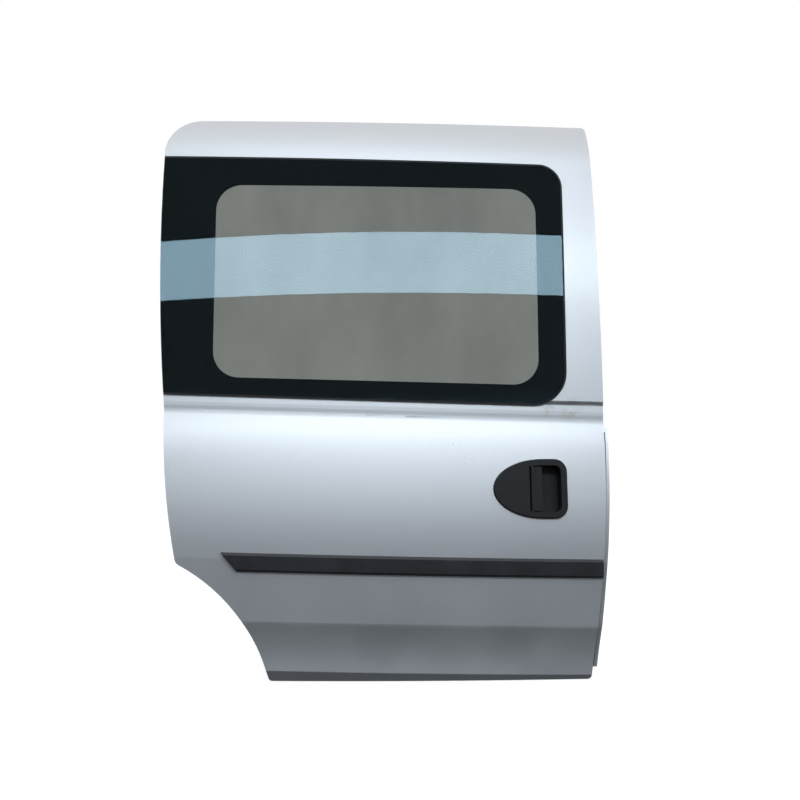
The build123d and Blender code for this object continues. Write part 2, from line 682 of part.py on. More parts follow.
with BuildPart() as inner_panel:
    add(inner_form(0, -SECTION_OVERRUN, FRAME_JOINT_Z))
    add(inner_form(SHEET, -SECTION_OVERRUN, FRAME_JOINT_Z - SHEET), mode=Mode.SUBTRACT)
    for bead_x, bead_z, bead_length in (BEAD_UPPER, BEAD_LOWER):
        with BuildSketch(inner_face):
            with Locations((bead_x, bead_z)):
                SlotOverall(bead_length, BEAD_HEIGHT)
        extrude(amount=-BEAD_DEPTH)
        with BuildSketch(sheet_back):
            with Locations((bead_x, bead_z)):
                SlotOverall(bead_length - 2 * SHEET, BEAD_HEIGHT - 2 * SHEET)
        extrude(amount=-BEAD_DEPTH, mode=Mode.SUBTRACT)
    with BuildSketch(sheet_back):
        for hole_x, hole_z, hole_width, hole_height in (ACCESS_HOLE, HANDLE_ACCESS, REAR_ACCESS):
            with Locations((hole_x, hole_z)):
                RectangleRounded(hole_width, hole_height, ACCESS_RADIUS)
        with Locations(REAR_LATCH, FRONT_LATCH):
            Rectangle(LATCH_SIZE[0] + 2 * SEAM_GAP, LATCH_SIZE[1] + 2 * SEAM_GAP)
    extrude(amount=-BEAD_DEPTH, both=True, mode=Mode.SUBTRACT)
inner_panel.part.label = "inner_panel"
export_step(inner_panel.part, "parts/inner_panel.step")

frame_bottom_z = FRAME_JOINT_Z + SEAM_GAP
with BuildPart() as frame_cavity:
    add(inner_form(SHEET, frame_bottom_z + SHEET, TOP_FRONT_Z))
    add(column(daylight_outline(APERTURE_MARGIN + SHEET)), mode=Mode.SUBTRACT)

with BuildPart() as window_frame:
    add(inner_form(0, frame_bottom_z, TOP_FRONT_Z))
    add(column(daylight_outline(APERTURE_MARGIN)), mode=Mode.SUBTRACT)
    add(frame_cavity.part, mode=Mode.SUBTRACT)
window_frame.part.label = "window_frame"
export_step(window_frame.part, "parts/window_frame.step")

with BuildPart() as weatherstrip:
    add(inner_space(WEATHERSTRIP_HEIGHT))
    add(inner_space(0), mode=Mode.SUBTRACT)
    add(column(door_outline(WEATHERSTRIP_INSET)), mode=Mode.INTERSECT)
    add(column(door_outline(WEATHERSTRIP_INSET + WEATHERSTRIP_WIDTH)), mode=Mode.SUBTRACT)
weatherstrip.part.label = "weatherstrip"
export_step(weatherstrip.part, "parts/weatherstrip.step")

# Stiffeners inside the door
with BuildPart() as impact_beam:
    with BuildSketch(side.offset(BEAM_REAR_X)):
        with Locations((BEAM_Y, BEAM_Z)):
            Circle(BEAM_RADIUS)
    extrude(amount=BEAM_FRONT_X - BEAM_REAR_X)
    with BuildSketch(elevation.offset(-BEAM_Y)):
        with Locations(
            (BEAM_REAR_X + BEAM_FOOT / 2, BEAM_Z),
            (BEAM_FRONT_X - BEAM_FOOT / 2, BEAM_Z),
        ):
            Rectangle(BEAM_FOOT, 2 * BEAM_RADIUS)
    extrude(amount=BEAM_Y - INNER_Y + SHEET)
    with BuildSketch(side.offset(BEAM_REAR_X)):
        with Locations((BEAM_Y, BEAM_Z)):
            Circle(BEAM_RADIUS - BEAM_WALL)
    extrude(amount=BEAM_FRONT_X - BEAM_REAR_X, mode=Mode.SUBTRACT)
impact_beam.part.label = "impact_beam"
export_step(impact_beam.part, "parts/impact_beam.step")

with BuildPart() as belt_reinforcement:
    with BuildSketch(sheet_back):
        with Locations((0, BELT_RAIL_Z)):
            Rectangle(2 * BELT_RAIL_HALF_LENGTH, BELT_RAIL_HEIGHT)
    extrude(amount=BELT_RAIL_DEPTH)
    with BuildSketch(sheet_back.offset(2 * SHEET)):
        with Locations((0, BELT_RAIL_Z)):
            Rectangle(2 * BELT_RAIL_HALF_LENGTH, BELT_RAIL_HEIGHT - 4 * SHEET)
    extrude(amount=BELT_RAIL_DEPTH, mode=Mode.SUBTRACT)
belt_reinforcement.part.label = "belt_reinforcement"
export_step(belt_reinforcement.part, "parts/belt_reinforcement.step")

# Lower roller arm: bracket on the inner panel, arm under its shelf, two guide rollers and one load roller
arm_top_z = LOWER_ARM_Z + PLATE
shelf_top_z = arm_top_z + PLATE
arm_tip_y = INNER_Y + LOWER_SHELF + LOWER_ARM_LENGTH
lower_roller_y = arm_tip_y - ROLLER_RADIUS - PLATE
roller_bottom = 2 * SEAM_GAP
load_axle_z = arm_top_z + LOAD_ROLLER_RADIUS

with BuildPart() as lower_bracket:
    with BuildSketch(inner_face):
        with Locations((LOWER_X, arm_top_z + LOWER_BASE[1] / 2)):
            RectangleRounded(*LOWER_BASE, PLATE_ROUND)
    extrude(amount=-PLATE)
    with BuildSketch(plan.offset(arm_top_z)):
        with Locations((LOWER_X, INNER_Y + LOWER_SHELF / 2)):
            Rectangle(LOWER_BASE[0], LOWER_SHELF)
    extrude(amount=PLATE)
    for gusset_x in (LOWER_X - LOWER_BASE[0] / 2, LOWER_X + LOWER_BASE[0] / 2 - PLATE):
        with BuildSketch(side.offset(gusset_x)):
            with BuildLine():
                Polyline(
                    (INNER_Y, shelf_top_z),
                    (INNER_Y + LOWER_SHELF, shelf_top_z),
                    (INNER_Y + PLATE, arm_top_z + LOWER_BASE[1]),
                    (INNER_Y, arm_top_z + LOWER_BASE[1]),
                    close=True,
                )
            make_face()
        extrude(amount=PLATE)
lower_bracket.part.label = "lower_bracket"
export_step(lower_bracket.part, "parts/lower_bracket.step")

lower_guide_points = (
    (LOWER_X - LOWER_ROLLER_SPACING / 2, lower_roller_y),
    (LOWER_X + LOWER_ROLLER_SPACING / 2, lower_roller_y),
)
with BuildPart() as lower_arm:
    with BuildSketch(plan.offset(LOWER_ARM_Z)) as arm_face:
        with BuildLine():
            Polyline(
                (LOWER_X - LOWER_BASE[0] / 2, INNER_Y + PLATE),
                (LOWER_X + LOWER_BASE[0] / 2, INNER_Y + PLATE),
                (LOWER_X + LOWER_BASE[0] / 2, INNER_Y + LOWER_SHELF),
                (LOWER_X + LOWER_ARM_TIP / 2, arm_tip_y),
                (LOWER_X - LOWER_ARM_TIP / 2, arm_tip_y),
                (LOWER_X - LOWER_BASE[0] / 2, INNER_Y + LOWER_SHELF),
                close=True,
            )
        make_face()
        fillet(arm_face.vertices().group_by(Axis.Y)[-1], 2 * PLATE_ROUND)
    extrude(amount=PLATE)
    with BuildSketch(plan.offset(arm_top_z)):
        with Locations(*lower_guide_points):
            Circle(AXLE_RADIUS)
    extrude(amount=ROLLER_WIDTH + 2 * roller_bottom)
    with BuildSketch(plan.offset(arm_top_z + ROLLER_WIDTH + 2 * roller_bottom)):
        with Locations(*lower_guide_points):
            Circle(AXLE_HEAD_RADIUS)
    extrude(amount=AXLE_HEAD)
    with BuildSketch(elevation.offset(-arm_tip_y)):
        with Locations((LOWER_X, LOWER_ARM_Z + LOAD_ROLLER_RADIUS)):
            Rectangle(2 * AXLE_HEAD_RADIUS, 2 * LOAD_ROLLER_RADIUS)
        with Locations((LOWER_X, load_axle_z)):
            Circle(AXLE_HEAD_RADIUS)
    extrude(amount=PLATE)
    with BuildSketch(elevation.offset(-arm_tip_y)):
        with Locations((LOWER_X, load_axle_z)):
            Circle(AXLE_RADIUS)
    extrude(amount=-ROLLER_WIDTH - 2 * roller_bottom)
    with BuildSketch(elevation.offset(-arm_tip_y - ROLLER_WIDTH - 2 * roller_bottom)):
        with Locations((LOWER_X, load_axle_z)):
            Circle(AXLE_HEAD_RADIUS)
    extrude(amount=-AXLE_HEAD)
lower_arm.part.label = "lower_arm"
export_step(lower_arm.part, "parts/lower_arm.step")

with BuildPart() as lower_rollers:
    with BuildSketch(plan.offset(arm_top_z + roller_bottom)):
        with Locations(*lower_guide_points):
            Circle(ROLLER_RADIUS)
            Circle(AXLE_RADIUS + AXLE_GAP, mode=Mode.SUBTRACT)
    extrude(amount=ROLLER_WIDTH)
    with BuildSketch(elevation.offset(-arm_tip_y - roller_bottom)):
        with Locations((LOWER_X, load_axle_z)):
            Circle(LOAD_ROLLER_RADIUS)
            Circle(AXLE_RADIUS + AXLE_GAP, mode=Mode.SUBTRACT)
    extrude(amount=-ROLLER_WIDTH)
lower_rollers.part.label = "lower_rollers"
export_step(lower_rollers.part, "parts/lower_rollers.step")

# Upper roller arm on the window frame's front pillar
pillar_slope = (INNER_ROOF_Y - INNER_Y) / (roof_bend_z - INNER_BEND_Z)
upper_top_y = INNER_Y + (upper_arm_z - INNER_BEND_Z) * pillar_slope
upper_foot_z = upper_arm_z - UPPER_BASE_HEIGHT
upper_foot_y = INNER_Y + (upper_foot_z - INNER_BEND_Z) * pillar_slope
upper_tip_y = upper_top_y + UPPER_ARM_LENGTH
upper_roller_point = (UPPER_X, upper_tip_y - UPPER_WIDTH / 2)
with BuildPart() as upper_arm:
    with BuildSketch(side.offset(UPPER_X - UPPER_WIDTH / 2)):
        with BuildLine():
            Polyline(
                (upper_foot_y, upper_foot_z),
                (upper_top_y, upper_arm_z),
                (upper_tip_y, upper_arm_z),
                (upper_tip_y, upper_arm_z - PLATE),
                (upper_top_y + PLATE, upper_arm_z - PLATE),
                (upper_foot_y + PLATE, upper_foot_z),
                close=True,
            )
        make_face()
    extrude(amount=UPPER_WIDTH)
    fillet(upper_arm.edges().filter_by(Axis.Z).group_by(Axis.Y)[-1], 2 * PLATE_ROUND)
    with BuildSketch(plan.offset(upper_arm_z)):
        with Locations(upper_roller_point):
            Circle(AXLE_RADIUS)
    extrude(amount=ROLLER_WIDTH + 2 * roller_bottom)
    with BuildSketch(plan.offset(upper_arm_z + ROLLER_WIDTH + 2 * roller_bottom)):
        with Locations(upper_roller_point):
            Circle(AXLE_HEAD_RADIUS)
    extrude(amount=AXLE_HEAD)
upper_arm.part.label = "upper_arm"
export_step(upper_arm.part, "parts/upper_arm.step")

with BuildPart() as upper_roller:
    with BuildSketch(plan.offset(upper_arm_z + roller_bottom)):
        with Locations(upper_roller_point):
            Circle(ROLLER_RADIUS)
            Circle(AXLE_RADIUS + AXLE_GAP, mode=Mode.SUBTRACT)
    extrude(amount=ROLLER_WIDTH)
upper_roller.part.label = "upper_roller"
export_step(upper_roller.part, "parts/upper_roller.step")

# Centre hinge arm at the rear edge, swung in behind the door
ear_y = INNER_Y + PLATE
pin_y = ear_y + CENTRE_EAR - CENTRE_ARM_WIDTH / 2
ear_bottoms = (CENTRE_Z - CENTRE_EAR_SPACING / 2 - PLATE, CENTRE_Z + CENTRE_EAR_SPACING / 2)
arm_height = CENTRE_EAR_SPACING - 2 * roller_bottom
centre_arm_bottom = CENTRE_Z - arm_height / 2
centre_head_y = pin_y + CENTRE_ARM_LENGTH
centre_head_top = CENTRE_Z + PLATE / 2
centre_guide_points = (
    (CENTRE_X - CENTRE_ROLLER_SPACING / 2, centre_head_y),
    (CENTRE_X + CENTRE_ROLLER_SPACING / 2, centre_head_y),
)
centre_face_y = centre_head_y + CENTRE_ARM_WIDTH / 2
with BuildPart() as centre_bracket:
    with BuildSketch(inner_face):
        with Locations((CENTRE_X, CENTRE_Z)):
            RectangleRounded(*CENTRE_BASE, PLATE_ROUND)
    extrude(amount=-PLATE)
    for ear_z in ear_bottoms:
        with BuildSketch(plan.offset(ear_z)):
            with Locations((CENTRE_X, ear_y + (CENTRE_EAR - CENTRE_ARM_WIDTH / 2) / 2)):
                Rectangle(CENTRE_ARM_WIDTH, CENTRE_EAR - CENTRE_ARM_WIDTH / 2)
            with Locations((CENTRE_X, pin_y)):
                Circle(CENTRE_ARM_WIDTH / 2)
                Circle(CENTRE_PIN_RADIUS + AXLE_GAP, mode=Mode.SUBTRACT)
        extrude(amount=PLATE)
centre_bracket.part.label = "centre_bracket"
export_step(centre_bracket.part, "parts/centre_bracket.step")

with BuildPart() as centre_arm:
    with BuildSketch(plan.offset(centre_arm_bottom)):
        with Locations((CENTRE_X, pin_y)):
            Circle(CENTRE_ARM_WIDTH / 2 - PLATE / 2)
    extrude(amount=arm_height)
    with BuildSketch(plan.offset(centre_head_top - PLATE)):
        with Locations((CENTRE_X, (pin_y + centre_head_y) / 2)):
            Rectangle(CENTRE_ARM_WIDTH - PLATE, CENTRE_ARM_LENGTH)
        with Locations((CENTRE_X, centre_head_y)):
            RectangleRounded(CENTRE_HEAD, CENTRE_ARM_WIDTH, PLATE_ROUND)
    extrude(amount=PLATE)
    with BuildSketch(plan.offset(centre_arm_bottom)):
        with Locations((CENTRE_X, pin_y)):
            Circle(CENTRE_PIN_RADIUS + AXLE_GAP)
    extrude(amount=arm_height, mode=Mode.SUBTRACT)
    with BuildSketch(plan.offset(centre_head_top)):
        with Locations(*centre_guide_points):
            Circle(AXLE_RADIUS)
    extrude(amount=ROLLER_WIDTH + 2 * roller_bottom)
    with BuildSketch(plan.offset(centre_head_top + ROLLER_WIDTH + 2 * roller_bottom)):
        with Locations(*centre_guide_points):
            Circle(AXLE_HEAD_RADIUS)
    extrude(amount=AXLE_HEAD)
    with BuildSketch(elevation.offset(-centre_face_y)):
        with Locations((CENTRE_X, centre_head_top - PLATE / 2)):
            Rectangle(2 * AXLE_HEAD_RADIUS, PLATE)
        with Locations((CENTRE_X, centre_head_top + AXLE_HEAD_RADIUS)):
            Rectangle(2 * AXLE_HEAD_RADIUS, 2 * AXLE_HEAD_RADIUS)
    extrude(amount=PLATE)
    with BuildSketch(elevation.offset(-centre_face_y)):
        with Locations((CENTRE_X, centre_head_top + AXLE_HEAD_RADIUS)):
            Circle(AXLE_RADIUS)
    extrude(amount=-ROLLER_WIDTH - 2 * roller_bottom)
    with BuildSketch(elevation.offset(-centre_face_y - ROLLER_WIDTH - 2 * roller_bottom)):
        with Locations((CENTRE_X, centre_head_top + AXLE_HEAD_RADIUS)):
            Circle(AXLE_HEAD_RADIUS)
    extrude(amount=-AXLE_HEAD)
centre_arm.part.label = "centre_arm"
export_step(centre_arm.part, "parts/centre_arm.step")

with BuildPart() as centre_pin:
    with BuildSketch(plan.offset(ear_bottoms[0])):
        with Locations((CENTRE_X, pin_y)):
            Circle(CENTRE_PIN_RADIUS)
    extrude(amount=CENTRE_EAR_SPACING + 2 * PLATE)
    with BuildSketch(plan.offset(ear_bottoms[1] + PLATE)):
        with Locations((CENTRE_X, pin_y)):
            Circle(CENTRE_PIN_RADIUS + AXLE_HEAD)
    extrude(amount=AXLE_HEAD)
centre_pin.part.label = "centre_pin"
export_step(centre_pin.part, "parts/centre_pin.step")

with BuildPart() as centre_rollers:
    with BuildSketch(plan.offset(centre_head_top + roller_bottom)):
        with Locations(*centre_guide_points):
            Circle(ROLLER_RADIUS)
            Circle(AXLE_RADIUS + AXLE_GAP, mode=Mode.SUBTRACT)
    extrude(amount=ROLLER_WIDTH)
    with BuildSketch(elevation.offset(-centre_face_y - roller_bottom)):
        with Locations((CENTRE_X, centre_head_top + AXLE_HEAD_RADIUS)):
            Circle(LOAD_ROLLER_RADIUS)
            Circle(AXLE_RADIUS + AXLE_GAP, mode=Mode.SUBTRACT)
    extrude(amount=-ROLLER_WIDTH)
centre_rollers.part.label = "centre_rollers"
export_step(centre_rollers.part, "parts/centre_rollers.step")


claw_bottom = (LATCH_PLATE - MOUTH_DEPTH - CLAW_THICKNESS) / 2


def latch_housing(middle, mouth_side):
    """A latch set in the inner panel, its mouth open towards mouth_side, with a pocket for its claw."""
    mouth_middle = (middle[0] + mouth_side * (LATCH_SIZE[0] - MOUTH_LENGTH) / 2, middle[1])
    flange_reach = mouth_side * LATCH_FLANGE
    with BuildPart() as latch:
        with BuildSketch(inner_face):
            with Locations(middle):
                Rectangle(*LATCH_SIZE)
        extrude(amount=LATCH_DEPTH)
        with BuildSketch(inner_face):
            with Locations(middle):
                Rectangle(LATCH_SIZE[0] + 2 * LATCH_FLANGE, LATCH_SIZE[1] + 2 * LATCH_FLANGE)
        extrude(amount=-LATCH_PLATE)
        with BuildSketch(inner_face.offset(-LATCH_PLATE)):
            with Locations(mouth_middle):
                Rectangle(MOUTH_LENGTH, MOUTH_HEIGHT)
            with Locations((mouth_middle[0] + flange_reach, mouth_middle[1])):
                Rectangle(MOUTH_LENGTH, MOUTH_HEIGHT)
        extrude(amount=LATCH_PLATE + MOUTH_DEPTH, mode=Mode.SUBTRACT)
        with BuildSketch(inner_face.offset(-claw_bottom + SEAM_GAP)):
            with Locations((middle[0], middle[1] + CLAW_RISE)):
                Circle(CLAW_RADIUS + SEAM_GAP)
        extrude(amount=-CLAW_THICKNESS - 2 * SEAM_GAP, mode=Mode.SUBTRACT)
    return latch.part


def latch_claw(middle, mouth_side):
    """The forked plate in a latch, its slot in line with the mouth."""
    slot_length = CLAW_RADIUS + CLAW_SLOT_END
    with BuildPart() as claw:
        with BuildSketch(inner_face.offset(-claw_bottom)):
            with Locations((middle[0], middle[1] + CLAW_RISE)):
                Circle(CLAW_RADIUS)
            with Locations((middle[0] + mouth_side * (slot_length / 2 - CLAW_SLOT_END), middle[1])):
                Rectangle(slot_length, CLAW_SLOT_HEIGHT, mode=Mode.SUBTRACT)
        extrude(amount=-CLAW_THICKNESS)
    return claw.part


with BuildPart() as rear_latch:
    add(latch_housing(REAR_LATCH, -1))
rear_latch.part.label = "rear_latch"
export_step(rear_latch.part, "parts/rear_latch.step")

with BuildPart() as rear_claw:
    add(latch_claw(REAR_LATCH, -1))
rear_claw.part.label = "rear_claw"
export_step(rear_claw.part, "parts/rear_claw.step")

with BuildPart() as front_latch:
    add(latch_housing(FRONT_LATCH, 1))
front_latch.part.label = "front_latch"
export_step(front_latch.part, "parts/front_latch.step")

with BuildPart() as front_claw:
    add(latch_claw(FRONT_LATCH, 1))
front_claw.part.label = "front_claw"
export_step(front_claw.part, "parts/front_claw.step")

# Inside release: a bezel on the inner panel with a lever in it
lever_face = inner_face.offset(-INNER_HANDLE_WALL)
with BuildPart() as inner_bezel:
    with BuildSketch(inner_face):
        with Locations(INNER_HANDLE):
            RectangleRounded(*INNER_HANDLE_SIZE, ACCESS_RADIUS / 2)
    extrude(amount=-INNER_HANDLE_HEIGHT)
    with BuildSketch(lever_face):
        with Locations(INNER_HANDLE):
            RectangleRounded(
                INNER_HANDLE_SIZE[0] - 2 * INNER_HANDLE_WALL,
                INNER_HANDLE_SIZE[1] - 2 * INNER_HANDLE_WALL,
                ACCESS_RADIUS / 2 - INNER_HANDLE_WALL,
            )
    extrude(amount=-INNER_HANDLE_HEIGHT, mode=Mode.SUBTRACT)
inner_bezel.part.label = "inner_bezel"
export_step(inner_bezel.part, "parts/inner_bezel.step")

with BuildPart() as inner_lever:
    with BuildSketch(lever_face):
        with Locations(INNER_HANDLE):
            RectangleRounded(*INNER_LEVER_SIZE, ACCESS_RADIUS / 4)
    extrude(amount=-INNER_LEVER_THICKNESS)
inner_lever.part.label = "inner_lever"
export_step(inner_lever.part, "parts/inner_lever.step")
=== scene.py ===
"""Looks for the van sliding door: materials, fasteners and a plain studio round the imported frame."""

import math

import bmesh
import bpy
from mathutils import Matrix, Vector


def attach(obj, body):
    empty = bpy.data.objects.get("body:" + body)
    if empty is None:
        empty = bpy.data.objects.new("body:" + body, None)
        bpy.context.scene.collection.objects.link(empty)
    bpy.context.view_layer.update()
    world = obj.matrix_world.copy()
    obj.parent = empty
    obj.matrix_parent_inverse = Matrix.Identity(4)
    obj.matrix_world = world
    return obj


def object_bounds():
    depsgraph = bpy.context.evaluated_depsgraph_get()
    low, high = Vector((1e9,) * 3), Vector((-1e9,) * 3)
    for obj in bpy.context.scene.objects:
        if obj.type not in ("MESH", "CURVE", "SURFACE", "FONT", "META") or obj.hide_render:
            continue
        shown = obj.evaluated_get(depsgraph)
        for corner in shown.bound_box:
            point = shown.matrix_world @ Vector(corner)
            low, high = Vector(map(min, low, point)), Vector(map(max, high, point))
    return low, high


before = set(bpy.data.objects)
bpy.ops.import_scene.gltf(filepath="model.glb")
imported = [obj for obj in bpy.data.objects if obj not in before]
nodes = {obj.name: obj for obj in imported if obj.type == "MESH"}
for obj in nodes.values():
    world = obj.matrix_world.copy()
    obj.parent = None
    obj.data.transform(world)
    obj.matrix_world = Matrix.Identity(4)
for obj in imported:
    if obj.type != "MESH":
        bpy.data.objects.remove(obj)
cad_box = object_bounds()

# The part's origin in door coordinates: x from mid-width, y inboard from the widest point, z from the bottom, in mm
ORIGIN = Vector((330.0, 206.0, 45.0))
INBOARD = Vector((0, 1, 0))


def at(x, y, z):
    """A point in door coordinates, as metres in the row frame."""
    return (Vector((x, y, z)) - ORIGIN) / 1000


# ---- Materials ----

DUST = (0.36, 0.34, 0.31)
CHIPPED = (0.16, 0.15, 0.14)
BROWN = (0.30, 0.24, 0.17)
# Small chips on the outside of the shoulder: where each is and how far it reaches, in metres
CHIPS = (
    (at(-116, 30, 483), 0.007),
    (at(10, 20, 437), 0.006),
    (at(146, 32, 492), 0.022),
    (at(160, 24, 455), 0.026),
    (at(163, 21, 425), 0.014),
)
# Brown marks in the belt groove
MARKS = (
    (at(396, 61, 565), 0.030),
    (at(346, 58, 566), 0.022),
)


class Shader:
    """A node material with a principled shader and helpers for adding nodes."""

    def __init__(self, name, colour, roughness, metallic=0.0):
        self.material = bpy.data.materials.new(name)
        self.material.use_nodes = True
        self.tree = self.material.node_tree
        self.surface = self.tree.nodes["Principled BSDF"]
        self.set("Base Color", (*colour, 1.0))
        self.set("Roughness", roughness)
        self.set("Metallic", metallic)
        self.place = self.node("ShaderNodeTexCoord").outputs["Object"]

    def node(self, kind, **settings):
        made = self.tree.nodes.new(kind)
        for key, value in settings.items():
            setattr(made, key, value)
        return made

    def link(self, source, target):
        self.tree.links.new(source, target)

    def set(self, socket, value):
        self.surface.inputs[socket].default_value = value

    def noise(self, scale, detail=3.0, roughness=0.55, stretch=None):
        made = self.node("ShaderNodeTexNoise")
        made.inputs["Scale"].default_value = scale
        made.inputs["Detail"].default_value = detail
        made.inputs["Roughness"].default_value = roughness
        source = self.place
        if stretch is not None:
            mapping = self.node("ShaderNodeMapping")
            mapping.inputs["Scale"].default_value = stretch
            self.link(self.place, mapping.inputs["Vector"])
            source = mapping.outputs["Vector"]
        self.link(source, made.inputs["Vector"])
        return made.outputs["Fac"]

    def cells(self, scale, output):
        made = self.node("ShaderNodeTexVoronoi")
        made.inputs["Scale"].default_value = scale
        self.link(self.place, made.inputs["Vector"])
        return made.outputs[output]

    def ramp(self, source, *stops):
        made = self.node("ShaderNodeValToRGB")
        for element, (position, colour) in zip(made.color_ramp.elements, stops):
            element.position = position
            element.color = (*colour, 1.0)
        self.link(source, made.inputs["Fac"])
        return made.outputs["Color"]

    def remap(self, source, span, onto):
        """Carries the values of span onto those of onto, and holds them beyond its ends."""
        made = self.node("ShaderNodeMapRange")
        made.inputs["From Min"].default_value, made.inputs["From Max"].default_value = span
        made.inputs["To Min"].default_value, made.inputs["To Max"].default_value = onto
        self.link(source, made.inputs["Value"])
        return made.outputs["Result"]

    def math(self, operation, first, second):
        made = self.node("ShaderNodeMath", operation=operation)
        self.link(first, made.inputs[0])
        self.link(second, made.inputs[1])
        return made.outputs["Value"]

    def mix(self, factor, first, second):
        """Blends two colours, each a socket or a tuple."""
        made = self.node("ShaderNodeMix", data_type="RGBA")
        self.link(factor, made.inputs["Factor"])
        for socket, value in ((made.inputs[6], first), (made.inputs[7], second)):
            if isinstance(value, tuple):
                socket.default_value = (*value, 1.0)
            else:
                self.link(value, socket)
        return made.outputs[2]

    def axis(self, name):
        made = self.node("ShaderNodeSeparateXYZ")
        self.link(self.place, made.inputs["Vector"])
        return made.outputs[name]

    def bump(self, height, strength, distance):
        made = self.node("ShaderNodeBump")
        made.inputs["Strength"].default_value = strength
        made.inputs["Distance"].default_value = distance
        self.link(height, made.inputs["Height"])
        self.link(made.outputs["Normal"], self.surface.inputs["Normal"])

    def near(self, spot, reach):
        """One at spot, falling to nought at reach from it."""
        gap = self.node("ShaderNodeVectorMath", operation="DISTANCE")
        gap.inputs[1].default_value = spot
        self.link(self.place, gap.inputs[0])
        return self.remap(gap.outputs["Value"], span=(0.0, reach), onto=(1.0, 0.0))

    def colour(self, source):
        self.link(source, self.surface.inputs["Base Color"])

    def roughness(self, source):
        self.link(source, self.surface.inputs["Roughness"])


def silver_paint(name, roughness, coat, dust, worn):
    """Metallic silver: flake, faint orange peel, dust that gathers low down and, if worn, chips and marks."""
    paint = Shader(name, (0.60, 0.61, 0.63), roughness, metallic=0.9)
    flake = paint.cells(2600, "Color")
    flecks = paint.ramp(flake, (0.0, (0.55, 0.56, 0.58)), (1.0, (0.66, 0.67, 0.69)))
    low = paint.remap(paint.axis("Z"), span=(0.35, -0.05), onto=(0.0, dust))
    patches = paint.remap(paint.noise(9, detail=6), span=(0.35, 0.75), onto=(0.0, 1.0))
    film = paint.math("MULTIPLY", patches, low)
    colour = paint.mix(film, flecks, DUST)
    if worn:
        for spot, reach in CHIPS:
            specks = paint.noise(240, detail=4, roughness=0.7, stretch=(1.0, 1.0, 0.35))
            broken = paint.remap(specks, span=(0.61, 0.67), onto=(0.0, 0.8))
            colour = paint.mix(paint.math("MULTIPLY", paint.near(spot, reach), broken), colour, CHIPPED)
        for spot, reach in MARKS:
            smear = paint.remap(paint.noise(60, detail=5), span=(0.4, 0.7), onto=(0.0, 0.7))
            colour = paint.mix(paint.math("MULTIPLY", paint.near(spot, reach), smear), colour, BROWN)
    paint.colour(colour)
    grain = paint.remap(paint.noise(420, detail=2), span=(0.3, 0.7), onto=(roughness - 0.03, roughness + 0.03))
    paint.roughness(paint.math("ADD", grain, film))
    paint.bump(paint.noise(260, detail=2), strength=0.02, distance=0.002)
    paint.set("Coat Weight", coat)
    paint.set("Coat Roughness", 0.18)
    return paint.material


def black_plastic(name, colour, roughness, grain, gloss):
    """Moulded black plastic: fine grain, scuffs, and a slight fade where it weathers."""
    plastic = Shader(name, colour, roughness)
    faded = tuple(1.9 * channel for channel in colour)
    fade = plastic.remap(plastic.noise(14, detail=5), span=(0.4, 0.75), onto=(0.0, 0.6))
    plastic.colour(plastic.mix(fade, colour, faded))
    scuffs = plastic.noise(90, detail=4)
    plastic.roughness(plastic.remap(scuffs, span=(0.3, 0.7), onto=(roughness - 0.08, roughness + 0.08)))
    plastic.bump(plastic.noise(grain, detail=3, roughness=0.6), strength=0.25, distance=0.0004)
    plastic.set("Specular IOR Level", gloss)
    return plastic.material


def rubber(name):
    """Black rubber with a dull bloom."""
    stuff = Shader(name, (0.012, 0.012, 0.013), 0.7)
    bloom = stuff.remap(stuff.noise(30, detail=5), span=(0.45, 0.8), onto=(0.0, 0.5))
    stuff.colour(stuff.mix(bloom, (0.010, 0.010, 0.011), (0.035, 0.034, 0.033)))
    stuff.bump(stuff.noise(900, detail=3), strength=0.2, distance=0.0004)
    return stuff.material


def arm_paint(name):
    """Black dipped steel with worn, dusty patches."""
    paint = Shader(name, (0.03, 0.03, 0.032), 0.42)
    worn = paint.remap(paint.noise(45, detail=6, roughness=0.65), span=(0.58, 0.72), onto=(0.0, 1.0))
    paint.colour(paint.mix(worn, (0.026, 0.026, 0.028), (0.10, 0.085, 0.07)))
    paint.roughness(paint.remap(worn, span=(0.0, 1.0), onto=(0.38, 0.7)))
    paint.bump(paint.noise(180, detail=3), strength=0.12, distance=0.0006)
    return paint.material


def plated_steel(name):
    """Zinc plate: grey, slightly yellow in patches, with fine streaks."""
    metal = Shader(name, (0.55, 0.53, 0.48), 0.38, metallic=1.0)
    patches = metal.noise(35, detail=4)
    metal.colour(metal.ramp(patches, (0.3, (0.40, 0.40, 0.40)), (0.7, (0.47, 0.43, 0.34))))
    streaks = metal.noise(160, detail=3, stretch=(1, 1, 12))
    metal.roughness(metal.remap(streaks, span=(0.3, 0.7), onto=(0.22, 0.42)))
    metal.bump(metal.noise(400, detail=2), strength=0.05, distance=0.0004)
    return metal.material


def nylon(name):
    """Off-white nylon with grease marks."""
    stuff = Shader(name, (0.72, 0.69, 0.60), 0.4)
    grease = stuff.remap(stuff.noise(70, detail=5), span=(0.5, 0.7), onto=(0.0, 0.8))
    stuff.colour(stuff.mix(grease, (0.70, 0.67, 0.58), (0.16, 0.13, 0.09)))
    stuff.bump(stuff.noise(600, detail=2), strength=0.05, distance=0.0003)
    return stuff.material


